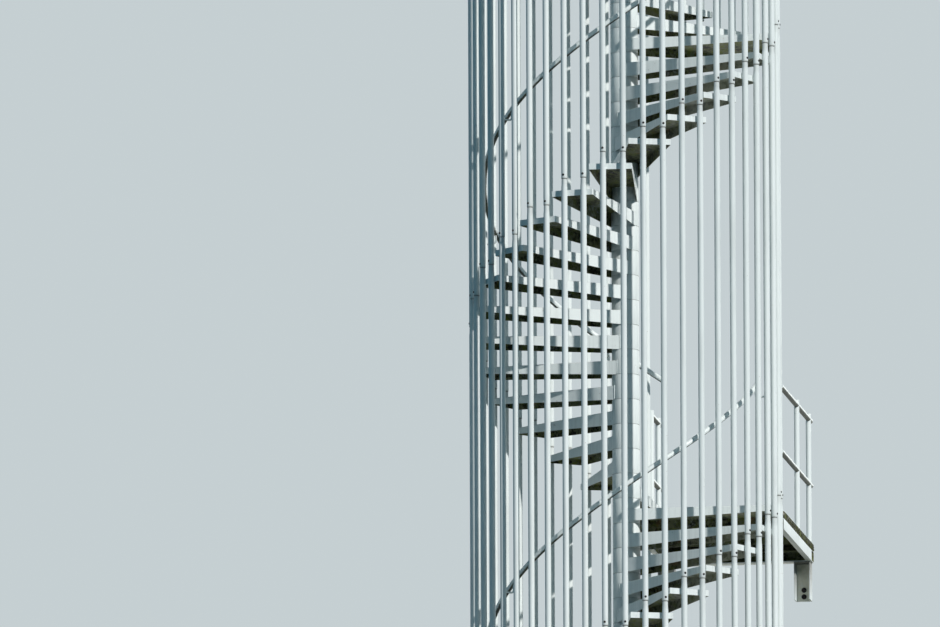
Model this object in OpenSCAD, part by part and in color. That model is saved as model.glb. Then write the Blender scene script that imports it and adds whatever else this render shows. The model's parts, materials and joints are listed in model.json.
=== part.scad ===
// Outdoor spiral escape stair: folded steel treads stacked on a centre column,
// a cage of vertical tubes bolted to the tread ends, and platforms that bridge
// to a wall. The origin is the centre of the base plate's underside, +Z is up
// and +Y points to the wall.

/* [Rise and plan] */
// Height from one tread top to the next
riser = 200; // [185:1:210]
// Number of cage tube positions in one full turn
bars_round = 48; // [44:2:52]
// Tube positions covered by a door platform
landing_bars = 12; // [10:2:14]
// Tube positions covered by the resting landing
rest_bars = 7; // [5:1:9]
// Radius of the circle of tube centres
cage_r = 1220; // [1150:5:1300]

/* [Column] */
// Outside diameter of the tread sleeves
hub_d = 219; // [200:1:240]
// Wall of the tread sleeves
hub_wall = 6; // [5:0.5:8]
// Outside diameter of the column tube inside the sleeves
pole_d = 168.3; // [150:0.1:180]
// Wall of the column tube
pole_wall = 8; // [6:0.5:12]
// Height of a sleeve joint above the tread top
joint_rise = 86; // [75:1:95]
// Thickness of the spacer ring between two sleeves
ring_t = 3; // [2:0.5:5]
// How far a spacer ring stands back from the sleeve face
ring_inset = 4; // [2:0.5:4.5]

/* [Treads] */
// Thickness of the folded sheet
sheet_t = 4; // [3:0.5:5]
// Depth of a skirt at the tread's outer end
skirt_end = 48; // [42:1:56]
// Depth of a tread's skirt at the sleeve
skirt_hub = 110; // [95:1:112]
// Depth of a landing's nosing skirt at the sleeve
nosing_hub = 95; // [80:1:112]
// Width by which one tread laps over the next at the outer end
tread_lap = 30; // [20:1:40]
// How far the skirts' outer faces stand back from the sleeve's widest line
side_inset = 8; // [6:0.5:12]
// Angle by which the treads' sides are turned back from the middle of their tubes
tread_turn = 1.1; // [0:0.1:1.5]

/* [Cage tubes] */
// Outside diameter of a cage tube
bar_d = 48.3; // [42:0.1:52]
// Wall of a cage tube
bar_wall = 2.6; // [2:0.1:4]
// Height of a tube joint above the tread top
bar_joint = 85; // [75:1:100]
// Width of the open line at a tube joint
bar_gap = 2; // [1:0.5:4]
// Length of tube that hangs below a tread end
bar_tail = 12; // [6:1:30]
// Height of the cage above the top platform
guard_h = 1100; // [1000:10:1200]

/* [Handrail] */
// Diameter of the handrail
rail_d = 42.4; // [38:0.1:44]
// Clear gap between the handrail and the cage tubes
rail_gap = 55; // [40:1:80]
// Height of the handrail above the tread noses
rail_h = 1048; // [950:1:1090]
// Diameter of the bent rods that carry the handrail
stay_d = 14; // [10:1:18]
// Depth of a stay below the handrail's centre
stay_drop = 85; // [75:1:110]
// Bend radius of a stay
stay_bend = 25; // [20:1:35]
// Treads from one handrail stay to the next
stay_step = 4; // [2:1:6]

/* [Platforms] */
// Distance from the circle of tube centres to the wall
wall_gap = 730; // [620:10:900]
// Distance from the circle of tube centres out to the platform's right edge
deck_reach = 20; // [10:1:60]
// Depth of the platform's folded skirt
deck_skirt = 65; // [50:1:75]
// Depth of the channel beams under the platform
beam_h = 90; // [70:1:110]
// Width of a beam flange
beam_b = 45; // [35:1:60]
// Width of the flanges of the beam at the wall
wall_beam_b = 130; // [60:1:150]
// Thickness of the beam section
beam_t = 6; // [4:0.5:8]
// Number of stiffening ribs under a platform
rib_count = 4; // [3:1:5]
// Thickness of a stiffening rib
rib_t = 5; // [4:0.5:8]

/* [Platform rails] */
// Height of the top rail's centre above the platform
deck_rail_h = 1000; // [950:5:1050]
// Height of the middle rail's centre above the platform
mid_rail_h = 475; // [400:5:550]
// Diameter of the rail posts
post_d = 42.4; // [38:0.1:46]
// Distance from the wall to the last post
post_from_wall = 120; // [60:5:200]
// Distance from the left rail's first post to the wall
left_rail_l = 510; // [420:10:560]

/* [Wall brackets] */
// Width of a bracket
bracket_w = 130; // [110:1:150]
// Height of a bracket
bracket_h = 310; // [300:5:400]
// Depth of a bracket's side plates
bracket_b = 130; // [60:1:150]
// Thickness of a bracket's plates
bracket_t = 8; // [6:0.5:12]
// Distance from the bracket's top to its upper bolt
bolt_drop = 217; // [180:1:225]
// Distance between the two bolts
bolt_pitch = 54; // [50:1:70]
// Diameter of a wall bolt hole
bolt_d = 22; // [16:1:26]

/* [Base] */
// Side of the square base plate
base_w = 560; // [500:10:700]
// Thickness of the base plate
base_t = 20; // [15:1:25]
// Diameter of the circle of anchor holes
anchor_circle = 460; // [420:5:480]
// Number of anchor holes
anchor_count = 8; // [4:4:12]
// Diameter of an anchor hole
anchor_d = 22; // [18:1:26]
// Thickness of a base gusset
gusset_t = 10; // [8:1:15]

/* [Hidden] */

$fn = 48;
white = [0.86, 0.89, 0.91];
shade = [0.62, 0.67, 0.71];
soffit = [0.36, 0.35, 0.30];

// Clearances at seats that are not flat
seat_gap = 0.3;
eps = 1;

// Levels and turns
pitch = 360 / bars_round;
flight_steps = (bars_round - landing_bars) / 2;
upper_steps = floor((bars_round - rest_bars) / 2);
door_level = flight_steps + 1;
rest_level = 2 * door_level;
top_level = rest_level + upper_steps + 1;
door_z = door_level * riser;
rest_z = rest_level * riser;
top_z = top_level * riser;
head_z = top_z + guard_h;
top_start = rest_bars + 2 * upper_steps - bars_round;

// Column
hub_r = hub_d / 2;
pole_r = pole_d / 2;
weld_r = hub_r + seat_gap;
ring_r = hub_r - ring_inset;
cap_t = 12;
cap_lip = 5;
pole_top = head_z - 60;

// Tread outline: straight sides that touch the sleeve, and an end skirt that
// seats on the inner side of two tubes
bar_r = bar_d / 2;
end_r = cage_r * cos(pitch / 2) - bar_r - seat_gap;
end_half = end_r * tan(pitch) + tread_lap / 2;
side_r = hub_r - side_inset;
flare = acos(side_r / norm([end_half, end_r])) - atan2(end_r, end_half);

// Platform outline
wall_y = cage_r + wall_gap;
deck_x = cage_r + deck_reach;
deck_in_x = bar_r + 6;
deck_out_y = cage_r + bar_r + 6;
deck_left_x = -22;
rail_inset = 22;
beam_drop = deck_skirt + seat_gap;
soffit_drop = beam_drop + beam_h;
bracket_inset = 80;

// Cage and handrail: the rail's ends are named by tube position
rail_r = cage_r - bar_r - rail_gap - rail_d / 2;
rail_first = landing_bars - 1;
rail_last = bars_round - 1.5;
rail_slope = atan2(riser, 2 * PI * rail_r / (bars_round / 2));
nose_rise = riser * (0.5 + tread_turn / (2 * pitch) + tread_lap / 2 / end_r / sin(2 * pitch));
rail_sides = 10;
ring_b = 60;
ring_h = 8;
guard_pitch = 160;
post_cap = 40;

// Point where two lines cross, each given by its normal's angle and distance
function cross_at(a, da, b, db) = [
  (da * sin(b) - db * sin(a)) / sin(b - a),
  (db * cos(a) - da * cos(b)) / sin(b - a)];
function polar(r, a) = [r * cos(a), r * sin(a)];

// Angles of a tray that carries tube positions first to last
function mid_angle(k) = (k + 0.5) * pitch;
function front_normal(first) = mid_angle(first) - 90 - flare - tread_turn;
function rear_normal(last) = mid_angle(last - 1) + 90 + flare - tread_turn;
function bar_xy(k) = polar(cage_r, k * pitch);

// Level of the tray that carries tube position k in each storey
function lower_level(k) = 1 + floor((k - landing_bars) / 2);
function middle_level(k) = door_level + (k < landing_bars ? 0 : lower_level(k));
function upper_level(k) = rest_level + (k < rest_bars ? 0 : 1 + floor((k - rest_bars) / 2));

// Tread number i of a flight that starts at tube position first
function tread_bar(first, i) = first + 2 * (i - 1);

// Height of the handrail's centre over a flight whose first tread, at level
// base + 1, carries tube positions first and first + 1
function rail_z(first, base, a) =
  riser * (base + 1 + (a - mid_angle(first)) / (2 * pitch)) + nose_rise + rail_h;

// Corners of an outline given as lines: each line has the angle of its outward
// normal and its distance from the column's axis
function corners(lines, inset) = [for (i = [0 : len(lines) - 1])
  let (a = lines[i], b = lines[(i + 1) % len(lines)])
    cross_at(a[0], a[1] - inset, b[0], b[1] - inset)];

// Folded sheet with a skirt on every side, open below and cut to the sleeve;
// the children are cut off its lower edge
module folded_tray(lines, depth) {
  difference() {
    translate([0, 0, -depth]) linear_extrude(depth) polygon(corners(lines, 0));
    translate([0, 0, -depth - eps]) linear_extrude(depth + eps - sheet_t)
      polygon(corners(lines, sheet_t));
    translate([0, 0, -depth - eps]) cylinder(h = depth + 2 * eps, r = weld_r);
    children();
  }
}

// Region below a line that rises from depth hub_depth at the sleeve to
// end_depth at the tread end, over a width on both sides of the radius
module below_slope(hub_depth, end_depth, width) {
  slope = (hub_depth - end_depth) / (end_r - hub_r);
  far = end_r + ring_b;
  low = -hub_depth - hub_r * slope - eps;
  rotate([90, 0, 0]) linear_extrude(width, center = true)
    polygon([[0, -hub_depth - hub_r * slope], [0, low], [far, low],
      [far, (far - end_r) * slope - end_depth]]);
}

// Slope cut along one skirt of a landing: turn is -1 on a front skirt and
// 1 on a rear skirt
module cut_skirt(normal, turn, hub_depth) {
  rotate([0, 0, normal - turn * 90]) translate([0, turn * (side_r - sheet_t / 2), 0])
    below_slope(hub_depth, skirt_end, sheet_t + 2 * eps);
}

// Cut below a level depth, clear of the skirts whose lines are named in kept
module cut_level(lines, kept, level_depth, depth) {
  wide = [for (i = [0 : len(lines) - 1])
    [lines[i][0], lines[i][1] + (search(i, kept) ? -sheet_t - eps : ring_b)]];
  translate([0, 0, -depth - eps]) linear_extrude(depth + eps - level_depth)
    polygon(corners(wide, 0));
}

// One tread: nosing skirt, end skirt and rear skirt on a tapered sheet
module tread(k) {
  a = mid_angle(k);
  lines = [[front_normal(k), side_r], [a, end_r], [rear_normal(k + 1), side_r], [a + 180, 0]];
  folded_tray(lines, skirt_hub)
    rotate([0, 0, a]) below_slope(skirt_hub, skirt_end, 4 * end_half);
}

module flight(first, base, steps) {
  for (i = [1 : steps])
    translate([0, 0, (base + i) * riser]) tread(tread_bar(first, i));
}

// Sleeve of one level, between two spacer rings
module hub_sleeve(level) {
  low = level == 0 ? base_t : (level - 1) * riser + joint_rise + ring_t;
  high = level * riser + joint_rise;
  tube(hub_r, hub_wall, low, high);
}

module tube(r, wall, low, high) {
  translate([0, 0, low]) difference() {
    cylinder(h = high - low, r = r);
    translate([0, 0, -eps]) cylinder(h = high - low + 2 * eps, r = r - wall);
  }
}

module base_plate() {
  color(shade) difference() {
    translate([-base_w / 2, -base_w / 2, 0]) cube([base_w, base_w, base_t]);
    for (i = [0 : anchor_count - 1])
      translate(polar(anchor_circle / 2, (i + 0.5) * 360 / anchor_count))
        translate([0, 0, -eps]) cylinder(h = base_t + 2 * eps, d = anchor_d);
  }
}

module base_gussets() {
  foot = anchor_circle / 2 - anchor_d - weld_r;
  color(white) for (a = [0 : 90 : 270])
    rotate([90, 0, a]) translate([0, 0, -gusset_t / 2]) linear_extrude(gusset_t)
      polygon([[weld_r, base_t], [weld_r + foot, base_t], [weld_r + foot, base_t + 15],
        [weld_r + 15, joint_rise - ring_t], [weld_r, joint_rise - ring_t]]);
}

module centre_pole() {
  color(shade) tube(pole_r, pole_wall, base_t, pole_top);
}

module pole_cap() {
  color(white) {
    tube(hub_r, hub_wall, top_z + joint_rise + ring_t, pole_top);
    translate([0, 0, pole_top]) cylinder(h = cap_t, r = hub_r + cap_lip);
  }
}

module spacer_rings() {
  color(shade) for (level = [0 : top_level])
    tube(ring_r, ring_r - pole_r - seat_gap, level * riser + joint_rise,
      level * riser + joint_rise + ring_t);
}

module hub_sleeves(from, to) {
  color(white) for (level = [from : to]) hub_sleeve(level);
}

module hub_sleeves_lower() { hub_sleeves(0, door_level); }
module hub_sleeves_middle() { hub_sleeves(door_level + 1, rest_level); }
module hub_sleeves_upper() { hub_sleeves(rest_level + 1, top_level); }

module treads_lower() { color(white) flight(landing_bars, 0, flight_steps); }
module treads_middle() { color(white) flight(landing_bars, door_level, flight_steps); }
module treads_upper() { color(white) flight(rest_bars, rest_level, upper_steps); }

// End of the straight skirt that carries the platform's first two tubes
function deck_step(first) =
  let (a = mid_angle(first), t = cage_r * sin(pitch / 2) + bar_r + 7)
    polar(end_r, a) + polar(t, a + 90);

// Platform from the column to the wall, cut back round the cage tubes
module platform_deck(first) {
  a = mid_angle(first);
  front = front_normal(first);
  lines = [[front, side_r], [a, end_r], [-90, -deck_step(first).y], [0, deck_x],
    [90, wall_y], [180, -deck_left_x], [-90, -deck_out_y], [180, -deck_in_x]];
  folded_tray(lines, nosing_hub) {
    cut_skirt(front, -1, nosing_hub);
    cut_level(lines, [0], deck_skirt, nosing_hub);
  }
}

module door_platform_deck() {
  color(white) translate([0, 0, door_z]) platform_deck(0);
}
module top_platform_deck() {
  color(white) translate([0, 0, top_z]) platform_deck(top_start);
}

// Channel beam along +Y with its web at the origin and its flanges towards +X
module channel(length, width) {
  rotate([90, 0, 0]) translate([0, 0, -length]) linear_extrude(length)
    difference() {
      translate([0, -beam_h]) square([width, beam_h]);
      translate([beam_t, beam_t - beam_h]) square([width, beam_h - 2 * beam_t]);
    }
}

// Two side beams and the cross beam at the wall
module platform_beams(first, z) {
  start = deck_step(first).y;
  side_end = wall_y - wall_beam_b - seat_gap;
  left_start = weld_r + 2 * beam_b;
  color(white) translate([0, 0, z - beam_drop]) {
    translate([deck_x, start, 0]) mirror([1, 0, 0]) channel(side_end - start, beam_b);
    translate([deck_in_x, left_start, 0]) channel(side_end - left_start, beam_b);
    translate([deck_left_x, wall_y, 0]) rotate([0, 0, -90])
      channel(deck_x - deck_left_x, wall_beam_b);
  }
}
module door_platform_beams() { platform_beams(0, door_z); }
module top_platform_beams() { platform_beams(top_start, top_z); }

// Flat ribs across the soffit, from the left beam to the right beam
module platform_ribs(first, z) {
  start = deck_step(first).y;
  low_x = deck_in_x + sheet_t + seat_gap;
  span = deck_x - sheet_t - seat_gap - low_x;
  room = wall_y - start - wall_beam_b;
  depth = deck_skirt - sheet_t - seat_gap;
  color(soffit) for (i = [1 : rib_count])
    translate([low_x, start + i * room / (rib_count + 1), z - sheet_t - depth])
      cube([span, rib_t, depth]);
}
module door_platform_ribs() { platform_ribs(0, door_z); }
module top_platform_ribs() { platform_ribs(top_start, top_z); }

// Channel on the wall with a shelf under the cross beam
module wall_bracket() {
  difference() {
    translate([-bracket_w / 2, -bracket_b, -bracket_h]) cube([bracket_w, bracket_b, bracket_h]);
    translate([-bracket_w / 2 + bracket_t, -bracket_b - eps, -bracket_h - eps])
      cube([bracket_w - 2 * bracket_t, bracket_b + eps - bracket_t,
        bracket_h + eps - bracket_t]);
    for (drop = [bolt_drop, bolt_drop + bolt_pitch])
      translate([0, eps, -drop]) rotate([90, 0, 0]) cylinder(h = bracket_t + 2 * eps, d = bolt_d);
  }
}
module wall_brackets(z) {
  color(white) for (x = [deck_left_x + bracket_inset, deck_x - bracket_inset])
    translate([x, wall_y, z - soffit_drop]) wall_bracket();
}
module door_wall_brackets() { wall_brackets(door_z); }
module top_wall_brackets() { wall_brackets(top_z); }

// Resting landing: one tray with a straight end skirt for each pair of tubes
module rest_landing_deck() {
  last = rest_bars - 1;
  front = front_normal(0);
  rear = rear_normal(last);
  seats = concat([for (i = [0 : floor(rest_bars / 2) - 1]) [mid_angle(2 * i), end_r]],
    rest_bars % 2 == 1 ? [[last * pitch, cage_r - bar_r - seat_gap]] : []);
  lines = concat([[front, side_r]], seats,
    [[rear, side_r], [(front + rear) / 2 + 180, 0]]);
  color(white) translate([0, 0, rest_z]) folded_tray(lines, nosing_hub) {
    cut_skirt(front, -1, nosing_hub);
    cut_skirt(rear, 1, nosing_hub);
    cut_level(lines, [0, len(lines) - 2], skirt_end, nosing_hub);
  }
}

// Straight handrail tube between two points
module rod(a, b, d) {
  run = b - a;
  translate(a) rotate([0, acos(run.z / norm(run)), atan2(run.y, run.x)])
    cylinder(h = norm(run), d = d);
}

// Platform rail along +Y: posts, top rail and middle rail
module deck_rail(x, from, posts, z) {
  color(white) union() {
    for (h = [deck_rail_h, mid_rail_h])
      rod([x, from, z + h], [x, wall_y - seat_gap, z + h], rail_d);
    for (y = posts)
      translate([x, y, z]) cylinder(h = deck_rail_h + post_cap, d = post_d);
  }
}
module rail_left(z) {
  near = wall_y - left_rail_l;
  deck_rail(deck_left_x + rail_inset, near, [near, wall_y - post_from_wall], z);
}
module rail_right(first, z) {
  last = wall_y - post_from_wall;
  x = deck_x - rail_inset;
  near = bar_xy(first + 1).y + bar_r + seat_gap;
  deck_rail(x, near, [(near + 1.35 * last) / 2.35, last], z);
}
module door_rail_left() { rail_left(door_z); }
module top_rail_left() { rail_left(top_z); }
module door_rail_right() { rail_right(0, door_z); }
module top_rail_right() { rail_right(top_start, top_z); }

// Guard between the top platform and the open well
module well_guard() {
  x = deck_in_x + bar_r;
  from = weld_r + ring_b;
  to = cage_r - 1.5 * ring_b;
  count = floor((to - from) / guard_pitch) + 1;
  color(white) {
    for (i = [0 : count - 1])
      translate([x, from + i * (to - from) / (count - 1), top_z])
        tube(bar_r, bar_wall, 0, guard_h - ring_h);
    translate([x - ring_b / 2, from - ring_b / 2, head_z - ring_h])
      cube([ring_b, to - from + ring_b, ring_h]);
  }
}

module bar(k, low, high) {
  translate(bar_xy(k)) tube(bar_r, bar_wall, low, high);
}
function hung(level) = level * riser - skirt_end - bar_tail;
function joined(level) = level * riser + bar_joint;

module cage_bars_foot() {
  color(white) {
    for (k = [0, 1]) bar(k, ring_h, joined(door_level));
    for (k = [landing_bars : bars_round - 1]) bar(k, ring_h, joined(lower_level(k)));
  }
}
module cage_bars_lower() {
  color(white) for (k = [landing_bars : bars_round - 1])
    bar(k, joined(lower_level(k)) + bar_gap, joined(middle_level(k)));
}
module cage_bars_middle() {
  color(white) {
    for (k = [0, 1]) bar(k, joined(door_level) + bar_gap, joined(rest_level));
    for (k = [landing_bars : bars_round - 1])
      bar(k, joined(middle_level(k)) + bar_gap, joined(upper_level(k)));
  }
}
module cage_bars_upper() {
  under_deck = top_z - soffit_drop - seat_gap;
  top_of = head_z - ring_h;
  color(white) {
    for (k = [0, 1])
      bar(k, joined(rest_level) + bar_gap, k > top_start + 1 ? under_deck : top_of);
    for (k = [2 : landing_bars - 1]) bar(k, hung(upper_level(k)), under_deck);
    for (k = [landing_bars : bars_round - 1])
      bar(k, joined(upper_level(k)) + bar_gap, top_of);
  }
}

// Flat ring on the tubes, open between tube place last and the first platform place
module cage_ring(last, z) {
  from = (landing_bars - 0.5) * pitch;
  to = 360 + (last + 0.5) * pitch;
  color(white) translate([0, 0, z]) rotate([0, 0, from])
    rotate_extrude(angle = to - from)
      translate([cage_r - ring_b / 2, 0]) square([ring_b, ring_h]);
}
module cage_foot_ring() { cage_ring(1, 0); }
module cage_top_ring() { cage_ring(top_start + 1, head_z - ring_h); }

// Round tube swept along a list of points that climb round the column. Its rings
// lie in planes through the axis, so that two lengths of rail meet face to face
module helix_tube(points) {
  n = len(points);
  s = rail_sides;
  function ring_at(i) = let (d = points[min(i + 1, n - 1)] - points[max(i - 1, 0)],
      out = [points[i].x, points[i].y, 0] / norm([points[i].x, points[i].y]),
      half_h = rail_d / 2 * norm(d) / norm([d.x, d.y]))
    [for (j = [0 : s - 1])
      points[i] + rail_d / 2 * cos(j * 360 / s) * out - [0, 0, half_h * sin(j * 360 / s)]];
  verts = [for (i = [0 : n - 1]) each ring_at(i)];
  sides = [for (i = [0 : n - 2]) for (j = [0 : s - 1])
    let (j2 = (j + 1) % s, a = i * s + j, b = i * s + j2, c = a + s, d = b + s)
    each [[a, c, b], [b, c, d]]];
  caps = [[for (j = [0 : s - 1]) j], [for (j = [s - 1 : -1 : 0]) (n - 1) * s + j]];
  polyhedron(verts, concat(sides, caps), convexity = 8);
}

// One ring at each tube position between two ends, and one at each end
function stations(from, to) =
  concat([from], [for (k = [floor(from) + 1 : ceil(to) - 1]) k], [to]);
function rail_point(k, z) = concat(polar(rail_r, k * pitch), z);
function helix(first, base, from, to) =
  [for (k = stations(from, to)) rail_point(k, rail_z(first, base, k * pitch))];

module handrail_lower() {
  color(white) helix_tube(helix(landing_bars, 0, rail_first, rail_last));
}
module handrail_middle() {
  color(white) helix_tube(helix(landing_bars, door_level, rail_first, rail_last));
}

// Over the resting landing the handrail climbs evenly from flight to flight
module handrail_upper() {
  from = rail_last - bars_round;
  join = rest_bars - 1;
  low = rail_z(landing_bars, door_level, rail_last * pitch);
  high = rail_z(rest_bars, rest_level, join * pitch);
  bridge = [for (k = stations(from, join)) if (k < join)
    rail_point(k, low + (k - from) / (join - from) * (high - low))];
  to = tread_bar(rest_bars, upper_steps) + 0.5;
  color(white) helix_tube(concat(bridge, helix(rest_bars, rest_level, join, to)));
}

// Bent rod from a cage tube to the underside of the handrail, cut to the rail
module stay() {
  reach = cage_r - bar_r - seat_gap - rail_r - stay_bend;
  difference() {
    union() {
      translate([rail_r + stay_bend, 0, -stay_drop]) rotate([0, 90, 0])
        cylinder(h = reach, d = stay_d);
      translate([rail_r + stay_bend, 0, stay_bend - stay_drop]) rotate([90, 0, 0])
        rotate([0, 0, 180]) rotate_extrude(angle = 90) translate([stay_bend, 0])
          circle(d = stay_d);
      translate([rail_r, 0, stay_bend - stay_drop]) cylinder(h = stay_drop - stay_bend, d = stay_d);
    }
    translate([rail_r, 0, 0]) rotate([rail_slope - 90, 0, 0])
      cylinder(h = 4 * stay_d, d = rail_d + 2 * seat_gap, center = true);
  }
}
module stays(first, base, steps) {
  color(white) for (i = [2 : stay_step : steps]) {
    a = tread_bar(first, i) * pitch;
    translate([0, 0, rail_z(first, base, a)]) rotate([0, 0, a]) stay();
  }
}
module rail_stays_lower() { stays(landing_bars, 0, flight_steps); }
module rail_stays_middle() { stays(landing_bars, door_level, flight_steps); }
module rail_stays_upper() { stays(rest_bars, rest_level, upper_steps); }

base_plate();
base_gussets();
centre_pole();
pole_cap();
spacer_rings();
hub_sleeves_lower();
hub_sleeves_middle();
hub_sleeves_upper();
treads_lower();
treads_middle();
treads_upper();
door_platform_deck();
door_platform_beams();
door_platform_ribs();
door_wall_brackets();
rest_landing_deck();
top_platform_deck();
top_platform_beams();
top_platform_ribs();
top_wall_brackets();
door_rail_left();
door_rail_right();
top_rail_left();
top_rail_right();
well_guard();
cage_foot_ring();
cage_bars_foot();
cage_bars_lower();
cage_bars_middle();
cage_bars_upper();
cage_top_ring();
handrail_lower();
handrail_middle();
handrail_upper();
rail_stays_lower();
rail_stays_middle();
rail_stays_upper();
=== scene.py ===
"""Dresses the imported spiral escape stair: weathered white paint, mossy undersides, tubes with
their joints and screws, folded trays, welds, fixings and a plain stage."""

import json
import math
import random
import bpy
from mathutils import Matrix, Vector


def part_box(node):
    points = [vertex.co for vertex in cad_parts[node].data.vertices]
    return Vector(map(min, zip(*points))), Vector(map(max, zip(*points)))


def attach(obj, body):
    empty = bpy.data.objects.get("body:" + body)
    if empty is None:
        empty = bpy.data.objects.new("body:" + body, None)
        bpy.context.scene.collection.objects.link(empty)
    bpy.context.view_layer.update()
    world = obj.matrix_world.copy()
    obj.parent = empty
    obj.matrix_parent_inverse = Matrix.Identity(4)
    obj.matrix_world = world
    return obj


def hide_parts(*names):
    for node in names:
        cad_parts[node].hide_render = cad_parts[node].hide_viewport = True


bl_info = {
    "name": "Spiral Escape Stair",
    "version": (1, 0, 0),
    "blender": (4, 5, 0),
    "location": "View3D > Sidebar > Stair",
    "description": "Painted steel, folded trays, cage tubes, fixings and stage of a spiral escape stair",
    "category": "Object",
}

import bmesh
import bpy
from bpy.props import FloatProperty, FloatVectorProperty, IntProperty, PointerProperty
from mathutils import Matrix, Vector

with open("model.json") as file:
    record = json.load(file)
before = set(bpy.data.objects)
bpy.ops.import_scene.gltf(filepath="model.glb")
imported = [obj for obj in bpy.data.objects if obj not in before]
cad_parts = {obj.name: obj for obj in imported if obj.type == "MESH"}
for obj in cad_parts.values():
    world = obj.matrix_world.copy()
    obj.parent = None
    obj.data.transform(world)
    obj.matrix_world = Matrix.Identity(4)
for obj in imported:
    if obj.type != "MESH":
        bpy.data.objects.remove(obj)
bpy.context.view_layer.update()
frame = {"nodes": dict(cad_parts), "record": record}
MOUNTS = {mount["name"]: mount for mount in frame["record"]["mounts"]}

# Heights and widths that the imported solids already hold
DOOR_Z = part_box("door_platform_deck")[1].z
REST_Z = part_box("rest_landing_deck")[1].z
TOP_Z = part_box("top_platform_deck")[1].z
HEAD_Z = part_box("cage_top_ring")[1].z
RING_H = HEAD_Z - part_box("cage_top_ring")[0].z
DECK_LOW, DECK_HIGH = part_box("door_platform_deck")
BEAM_LOW_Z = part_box("door_platform_beams")[0].z
SLEEVE_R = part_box("hub_sleeves_lower")[1].x

STOREYS = ("lower", "middle", "upper")
LEVELS = ("door", "top")
MM = 0.001
SEAT_GAP = 0.0003
SHARP = 34
TUBE_SIDES = 24
WELDED_SHARE = 0.97


def amount(name, default, description, **more):
    return FloatProperty(name=name, description=description, default=default, **more)


def length(name, default, description):
    return amount(name, default, description, unit="LENGTH")


def number(name, default, description):
    return IntProperty(name=name, description=description, default=default)


def tint(name, default, description):
    return FloatVectorProperty(name=name, description=description, subtype="COLOR", default=default)


class StairSizes(bpy.types.PropertyGroup):
    """Sizes of the stair that the frame's boxes don't give"""

    riser: length("Rise", 0.2, "Height from one tread to the next")
    places: number("Tube places", 48, "Places for a tube in one full turn")
    landing_places: number("Platform places", 12, "Tube places that a platform covers")
    rest_places: number("Resting places", 7, "Tube places that the resting landing covers")
    cage_r: length("Cage radius", 1.22, "Radius of the circle of tube centres")
    tube_d: length("Tube diameter", 0.0483, "Outside diameter of a cage tube")
    joint_up: length("Tube joint", 0.085, "Height of a tube joint above the tread")
    joint_gap: length("Joint gap", 0.002, "Open line between two tubes")
    neck: length("Neck", 0.0024, "How far a tube's head is drawn in under a joint")
    tube_tail: length("Tube tail", 0.012, "Tube that hangs below a tread end")
    screw_up: length("Screw height", 0.032, "Height of a screw above its tube joint")
    sheet: length("Sheet", 0.004, "Thickness of the folded sheet")
    fold: length("Fold radius", 0.006, "Outer radius of a fold")
    skirt_end: length("End skirt", 0.048, "Depth of a skirt at the tread's outer end")
    skirt_hub: length("Hub skirt", 0.11, "Depth of a tread's skirt at the sleeve")
    nosing_hub: length("Nosing", 0.095, "Depth of a landing's skirt at the sleeve")
    deck_skirt: length("Platform skirt", 0.065, "Depth of a platform's skirt")
    tread_lap: length("Tread lap", 0.03, "Width by which treads lap over each other")
    side_inset: length("Skirt inset", 0.008, "Skirt's distance inside the sleeve's widest line")
    tread_turn: amount(
        "Tread turn", math.radians(1.1), "Turn of the treads' sides back from the middle of their tubes",
        subtype="ANGLE",
    )
    rail_d: length("Handrail diameter", 0.0424, "Diameter of the handrail")
    rail_gap: length("Handrail gap", 0.055, "Gap between handrail and cage tubes")
    rail_h: length("Handrail height", 1.048, "Height of the handrail above the noses")
    stud_pitch: length("Stud pitch", 0.042, "Distance between raised studs on the walkway")


class StairColours(bpy.types.PropertyGroup):
    """Colours of the stair's finishes"""

    paint: tint("Paint", (0.775, 0.82, 0.815), "White paint")
    worn: tint("Worn paint", (0.46, 0.485, 0.47), "Paint on the walkways")
    grime: tint("Grime", (0.11, 0.105, 0.085), "Dirt in joints and corners")
    rust: tint("Rust", (0.22, 0.1, 0.04), "Rust")
    soffit: tint("Underside", (0.165, 0.17, 0.095), "Dirty underside")
    dust: tint("Dust", (0.5, 0.48, 0.4), "Dust on sheltered steel")
    moss: tint("Moss", (0.125, 0.14, 0.026), "Moss")
    zinc: tint("Zinc", (0.45, 0.48, 0.5), "Dull zinc")
    screw: tint("Screws", (0.018, 0.018, 0.02), "Darkened fixings")


class StairStage(bpy.types.PropertyGroup):
    """Camera, lamps, floor and background"""

    yaw: amount("Yaw", 8.46, "Camera's turn to the right of the wall's normal")
    pitch: amount("Pitch", 9.5, "Angle by which the camera looks up")
    roll: amount("Roll", -0.223, "Camera's roll")
    distance: length("Distance", 200.0, "Camera's distance")
    lens: amount("Lens", 961.97, "Focal length in millimetres")
    aim_side: length("Aim beside", 1.237, "Aim's distance left of the column")
    aim_z: length("Aim height", 5.395, "Height that the camera aims at")
    backdrop: tint("Backdrop", (0.56, 0.625, 0.645), "Colour behind the stair")
    floor: tint("Floor", (0.5, 0.52, 0.52), "Floor")
    floor_seen: tint("Floor seen", (0.93, 0.97, 0.98), "Floor's colour to the camera")
    floor_r: length("Floor radius", 8.5, "Radius of the floor")
    key: amount("Key", 3.15, "Strength of the key lamp")
    key_soft: amount("Key softness", 0.014, "Angle of the key lamp", subtype="ANGLE")
    bounce: amount("Bounce", 2.0, "Strength of the soft lamp behind the stair")
    bounce_soft: amount("Bounce softness", 1.6, "Angle of the lamp behind", subtype="ANGLE")
    fill: tint("Fill", (0.026, 0.096, 0.14), "Light from all sides")


def sizes():
    return bpy.context.scene.stair_sizes


def colours():
    return bpy.context.scene.stair_colours


# Shader trees written as sums


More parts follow.
